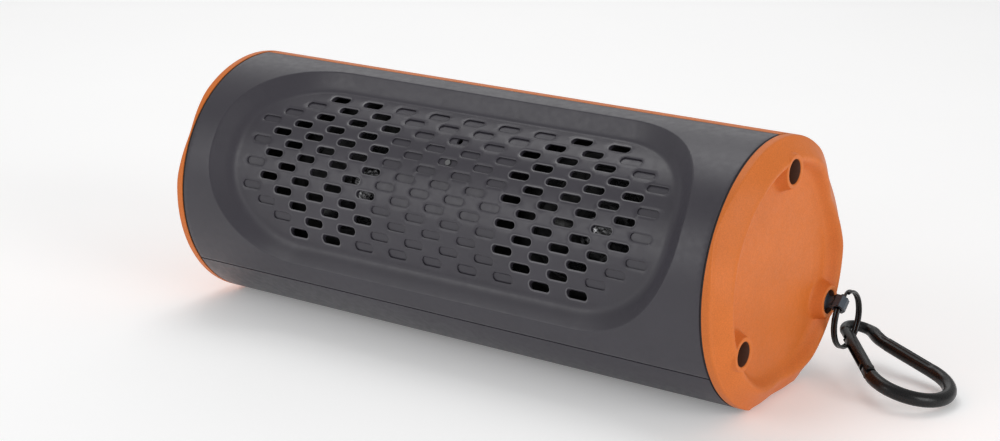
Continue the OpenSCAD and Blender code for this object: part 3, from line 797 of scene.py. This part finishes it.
def cross_hole():
    """The CAD's frame at the post's cross hole: X towards the ring's middle, Z along the tube."""
    middle = boss_middle(-150)
    across = Matrix(((0, 0, 1), (0, 1, 0), (-1, 0, 0))).to_4x4()
    place = Matrix.Translation((SEAM_X + HEAD_X, middle.x, AXIS_Z + middle.y))
    return place @ across @ Matrix.Rotation(math.radians(RING_LEAN), 4, "Z")


def circle_outline(r, steps=20):
    turns = [2 * math.pi * i / steps for i in range(steps)]
    return [(r * math.cos(a), r * math.sin(a)) for a in turns]


def build_ring():
    """Two turns of wire, side by side, that cross over opposite the carabiner."""
    steps = 120
    path = []
    for i in range(2 * steps + 1):
        turn = i / steps
        a = 2 * math.pi * turn + math.radians(150)
        shift = RING_WIRE * 0.99 * (smoothstep(0.93, 1.07, turn) - 0.5)
        path.append(Vector((RING_R * math.cos(a), RING_R * math.sin(a), shift)))
    wire = circle_outline(RING_WIRE / 2)
    part = sweep(path[2:-2], (0, 0, 1), lambda i: wire, ends=0.2)
    return moved(part, cross_hole() @ Matrix.Translation((RING_R, 0, 0)))


add_piece("ring_wire", *build_ring(), "split_ring", "black_steel", ["split_ring"], sharp=60)

# ---------- carabiner ----------

ROD_R, NOSE_ROD_R = 2.1, 1.65
NOSE_R, BOW_R, LOOP_LEN = 4.8, 12.1, 27.6
NECK_R, BEND_R = 2.5, 12.0
SIDE_ANGLE = math.acos(-(BOW_R - NOSE_R) / LOOP_LEN)
SPINE_SLOPE = math.asin((BOW_R - NECK_R) / LOOP_LEN)
BEND_TURN = math.acos((NECK_R + BEND_R) / (NOSE_R + BEND_R))
NOSE_END = math.pi / 2 + SPINE_SLOPE - BEND_TURN
SPINE_START = (NOSE_R + BEND_R) * math.sin(BEND_TURN)
SPINE_END = LOOP_LEN * math.cos(SPINE_SLOPE)
GATE_START, HINGE_AT = 4.0, 25.6
SHOULDER = HINGE_AT + 2.4
GATE_R = 2.0
CARABINER_AT = Vector((106.9, 39.0, -28.0))
CARABINER_TURN = (-8.9, 10.2, -33.8)

rx, ry, rz = (Matrix.Rotation(math.radians(a), 4, axis) for a, axis in zip(CARABINER_TURN, "XYZ"))
carabiner_frame = Matrix.Translation((0, 0, AXIS_Z)) @ Matrix.Translation(CARABINER_AT) @ rz @ ry @ rx


def polar(r, a):
    return Vector((r * math.cos(a), r * math.sin(a), 0))


def gate_side(s, out=0.0):
    """A point of the loop's gate side, s from the narrow end and out away from its middle."""
    away = polar(1, -SIDE_ANGLE)
    along = Vector((-away.y, away.x, 0))
    return polar(NOSE_R, -SIDE_ANGLE) + along * s + away * out


def carabiner_path():
    """Points of the rod's centreline with the radius there and how deep its grooves are."""
    path = []
    for i in range(5):
        path.append((gate_side(GATE_START - 0.35 - i * 0.9), NOSE_ROD_R - 0.05, 0.0))
    steps = 56
    for i in range(steps):
        a = mix(2 * math.pi - SIDE_ANGLE, NOSE_END, i / steps)
        wide = smoothstep(0.72, 1.0, i / steps)
        path.append((polar(NOSE_R, a), mix(NOSE_ROD_R, ROD_R - 0.1, wide), 0.0))
    steps = 16
    bend_middle = polar(NOSE_R + BEND_R, NOSE_END)
    for i in range(steps):
        a = math.pi + NOSE_END + BEND_TURN * i / steps
        path.append((bend_middle + polar(BEND_R, a), ROD_R - 0.1, smoothstep(0.45, 0.8, i / steps)))
    steps = 48
    along, away = polar(1, SPINE_SLOPE), polar(1, SPINE_SLOPE + math.pi / 2)
    for i in range(steps):
        point = away * NECK_R + along * mix(SPINE_START, SPINE_END, i / steps)
        path.append((point, ROD_R, 1 - smoothstep(0.9, 1.0, i / steps)))
    steps = 76
    for i in range(steps + 1):
        a = mix(SPINE_SLOPE + math.pi / 2, -SIDE_ANGLE, i / steps)
        point = Vector((LOOP_LEN, 0, 0)) + polar(BOW_R, a)
        if (point - gate_side(HINGE_AT)).length > SHOULDER - HINGE_AT or i < steps / 2:
            path.append((point, ROD_R, 0.0))
    return path


def build_carabiner():
    """The frame: a grooved rod, the latch bar at its nose and the tongue at the gate's hinge."""
    path = carabiner_path()
    steps = 48
    groove_turns = (1.0, 1.57, 2.14, 4.14, 4.71, 5.28)

    def outline(i):
        _, radius, depth = path[i]
        shape = []
        for k in range(steps):
            a = 2 * math.pi * k / steps
            groove = max(math.exp(-((a - turn) / 0.16) ** 2) for turn in groove_turns)
            r = radius - depth * 0.3 * groove
            shape.append((r * math.cos(a), r * math.sin(a)))
        return shape

    rod = sweep([p for p, _, _ in path], (0, 0, 1), outline, ends=0.12)
    latch = sweep([gate_side(s) for s in (2.5, 3.5, 4.5, 5.4)], (0, 0, 1),
                  lambda i: circle_outline(0.7, 16), ends=0.1)
    bar = sweep([gate_side(5.75, out) for out in (-1.3, -0.8, 0, 0.8, 1.3)], (0, 0, 1),
                lambda i: [(0.45 * x, 0.7 * y) for x, y in circle_outline(1.0, 16)], ends=0.2)
    tongue = sweep([gate_side(s) for s in (HINGE_AT - 1.2, HINGE_AT, HINGE_AT + 1.5, HINGE_AT + 3)],
                   (0, 0, 1), lambda i: plate_outline(3.7, 1.6), ends=0.3)
    return moved(join_parts([rod, latch, bar, tongue]), carabiner_frame)


def plate_outline(width, thickness):
    """Section of a flat bar with rounded corners."""
    corner, steps = 0.3, 4
    shape = []
    for sx, sy, start in ((1, 1, 0), (-1, 1, 90), (-1, -1, 180), (1, -1, 270)):
        for i in range(steps + 1):
            a = math.radians(start + 90 * i / steps)
            shape.append((sx * (width / 2 - corner) + corner * math.cos(a),
                          sy * (thickness / 2 - corner) + corner * math.sin(a)))
    return shape


add_piece("carabiner_rod", *build_carabiner(), "carabiner", "black_anodised", ["carabiner_body"],
          sharp=50)

FORK_GAP, JAW_GAP = 2.3, 2.0
FORK_END, FORK_DEPTH = 1.5, 2.8
JAW_LEN = 2.8
SLOT_FROM, SLOT_TO = 8.5, 22.0
SLOT_DEPTH, SLOT_HALF = 0.95, 0.55


def build_gate():
    """The gate: a bar with a spring slot, two jaws at its tip and a fork round the hinge."""
    steps = 48
    low, high = GATE_START + JAW_LEN - 0.4, HINGE_AT - FORK_DEPTH
    count = 60
    places = [mix(low, high, i / count) for i in range(count + 1)]

    def bar(i):
        s = places[i]
        inside = smoothstep(SLOT_FROM, SLOT_FROM + 0.5, s) * (1 - smoothstep(SLOT_TO - 0.5, SLOT_TO, s))
        depth = SLOT_DEPTH * inside
        shape = []
        for k in range(steps):
            a = 2 * math.pi * (k + 0.5) / steps
            x, z = GATE_R * math.cos(a), GATE_R * math.sin(a)
            if abs(z) < SLOT_HALF and x > 0:
                x -= depth
            shape.append((x, z))
        return shape

    def half(side, gap):
        shape = []
        for k in range(25):
            a = math.pi * k / 24
            x, z = GATE_R * math.cos(a), max(GATE_R * math.sin(a), gap / 2)
            shape.append((x, z) if side > 0 else (-x, -z))
        limit = math.sqrt(GATE_R**2 - (gap / 2) ** 2)
        return [(clamp(x, -limit, limit), z) for x, z in shape]

    parts = [sweep([gate_side(s) for s in places], (0, 0, 1), bar, ends=0.04)]
    jaw = (GATE_START + 0.1, low + 1.2, JAW_GAP)
    fork = (high - 1.2, HINGE_AT + FORK_END - 0.1, FORK_GAP)
    for side in (1, -1):
        for start, end, gap in (jaw, fork):
            stations = [gate_side(mix(start, end, i / 8)) for i in range(9)]
            shape = half(side, gap)
            parts.append(sweep(stations, (0, 0, 1), lambda i: shape, ends=0.05))
    return moved(join_parts(parts), carabiner_frame)


add_piece("gate_bar", *build_gate(), "carabiner_gate", "black_anodised", ["carabiner_gate"], sharp=40)
rivet_half = [(0.6, 1.5), (1.1, 1.5), (1.1, 1.95), (0.9, 2.15), (0.01, 2.15)]
rivet = lathe([(r, -z) for r, z in reversed(rivet_half)] + rivet_half, 32)
hinge_frame = carabiner_frame @ Matrix.Translation(gate_side(HINGE_AT))
add_piece("gate_rivet", *moved(rivet, hinge_frame), "carabiner", "black_anodised", ["gate_pin"])

# ---------- raised marks on the buttons ----------

BUTTON_ANGLE = 130
BUTTON_PITCH = 19
MARK_LOW, MARK_HIGH = 40.3, 40.75


def bar_mark(width, height, x=0.0, y=0.0):
    w, h = width / 2, height / 2
    return [(x - w, y - h), (x + w, y - h), (x + w, y + h), (x - w, y + h)]


def arc_mark(r, width, start, end, steps=24):
    turns = [math.radians(mix(start, end, i / steps)) for i in range(steps + 1)]
    outer = [((r + width / 2) * math.cos(a), (r + width / 2) * math.sin(a)) for a in turns]
    inner = [((r - width / 2) * math.cos(a), (r - width / 2) * math.sin(a)) for a in reversed(turns)]
    return outer + inner


def handset_mark():
    """A telephone handset, lying level."""
    bow = arc_mark(2.6, 0.8, 215, 325, 16)
    shape = []
    for part in (bow, bar_mark(1.5, 1.1, -2.0, -1.2), bar_mark(1.5, 1.1, 2.0, -1.2)):
        shape.append([(x, y + 1.6) for x, y in part])
    return shape


MARKS = {
    "power_button": (-2, [arc_mark(2.2, 0.6, 125, 415), bar_mark(0.6, 2.2, 0, 1.8)]),
    "volume_down_button": (-1, [bar_mark(4.4, 0.7)]),
    "play_button": (0, [[(-2.4, -2), (0.6, 0), (-2.4, 2)], bar_mark(0.7, 4, 1.4), bar_mark(0.7, 4, 2.7)]),
    "volume_up_button": (1, [bar_mark(4.4, 0.7), bar_mark(0.7, 4.4)]),
    "call_button": (2, handset_mark()),
}
for button, (place, outlines) in MARKS.items():
    mark = join_parts([prism(outline, MARK_LOW, MARK_HIGH) for outline in outlines])
    centre = facing(BUTTON_ANGLE) @ Matrix.Translation((place * BUTTON_PITCH, 0, 0))
    add_piece(button.replace("button", "mark"), *moved(mark, centre), button, "button_rubber",
              material=icon_paint)

# ---------- CAD nodes that stay ----------

# Edge rounding in millimetres for the nodes whose edges can be seen.
EDGES = {
    "base_panel": 0.2, "rear_shell": 0.2, "port_cover": 0.25, "rubber_foot": 0.4, "lanyard_post": 0.25,
    "status_lens": 0.1, "left_gasket": 0.1, "right_gasket": 0.1,
    "power_button": 0.15, "volume_down_button": 0.15, "play_button": 0.15, "volume_up_button": 0.15,
    "call_button": 0.15, "cap_screws": 0.15, "usb_port": 0.1, "aux_port": 0.1,
}
for subpart in frame["record"]["subparts"]:
    node = frame["nodes"][subpart["node"]]
    slot_name = subpart["material_slot"]
    node.data.materials.clear()
    node.data.materials.append(MATERIALS[slot_name])
    if node.hide_render:
        continue
    if subpart["node"] in EDGES:
        weld = node.modifiers.new("weld", "WELD")
        weld.merge_threshold = 0.002 * MM
        bevel = node.modifiers.new("bevel", "BEVEL")
        bevel.width = EDGES[subpart["node"]] * MM
        bevel.segments = 2
        bevel.limit_method = "ANGLE"
        bevel.angle_limit = math.radians(40)
        bevel.harden_normals = True

# ---------- floor, light and camera ----------

floor_mesh = bpy.data.meshes.new("floor")
half_floor = 4.0
corners = [(x * half_floor, y * half_floor, 0) for x, y in ((-1, -1), (1, -1), (1, 1), (-1, 1))]
floor_mesh.from_pydata(corners, [], [(0, 1, 2, 3)])
floor = bpy.data.objects.new("floor", floor_mesh)
bpy.context.scene.collection.objects.link(floor)
paper = Shader("pale_paper", 0.9, Emission_Color=(1, 1, 1, 1), Emission_Strength=0.17)
paper.speckle((0.95, 0.95, 0.95), 0.5, 0.004, 80.0, 0.004)
floor_mesh.materials.append(paper.material)

world = bpy.data.worlds.new("studio")
world.use_nodes = True
world.node_tree.nodes["Background"].inputs["Color"].default_value = (1, 1, 1, 1)
world.node_tree.nodes["Background"].inputs["Strength"].default_value = 0.43
bpy.context.scene.world = world
bpy.context.scene.view_settings.view_transform = "Standard"


def add_light(name, place, aim, size, power, size_y=None):
    light = bpy.data.lights.new(name, "AREA")
    light.shape = "RECTANGLE"
    light.size, light.size_y = size, size_y or size
    light.energy = power
    lamp = bpy.data.objects.new(name, light)
    lamp.location = place
    lamp.rotation_euler = (Vector(aim) - Vector(place)).to_track_quat("-Z", "Y").to_euler()
    bpy.context.scene.collection.objects.link(lamp)


centre = (0, 0, 0.04)
add_light("top", (-0.25, 0.25, 0.92), centre, 0.55, 2.2, 0.5)
add_light("back", (-0.6, 0.85, 0.6), centre, 1.0, 1.2, 0.5)
add_light("front", (-0.5, -0.85, 0.45), centre, 0.6, 2.4)
add_light("right", (0.95, -0.2, 0.35), centre, 0.5, 3.5)

camera_data = bpy.data.cameras.new("camera")
camera_data.lens = 72.41
camera_data.sensor_width = 36
camera_data.clip_start = 0.01
camera = bpy.data.objects.new("camera", camera_data)
camera.location = (0.34324, -0.49142, 0.22189)
look_back = Vector((0.54578, -0.78450, 0.29442))
camera.rotation_euler = look_back.to_track_quat("Z", "Y").to_euler()
bpy.context.scene.collection.objects.link(camera)
bpy.context.scene.camera = camera
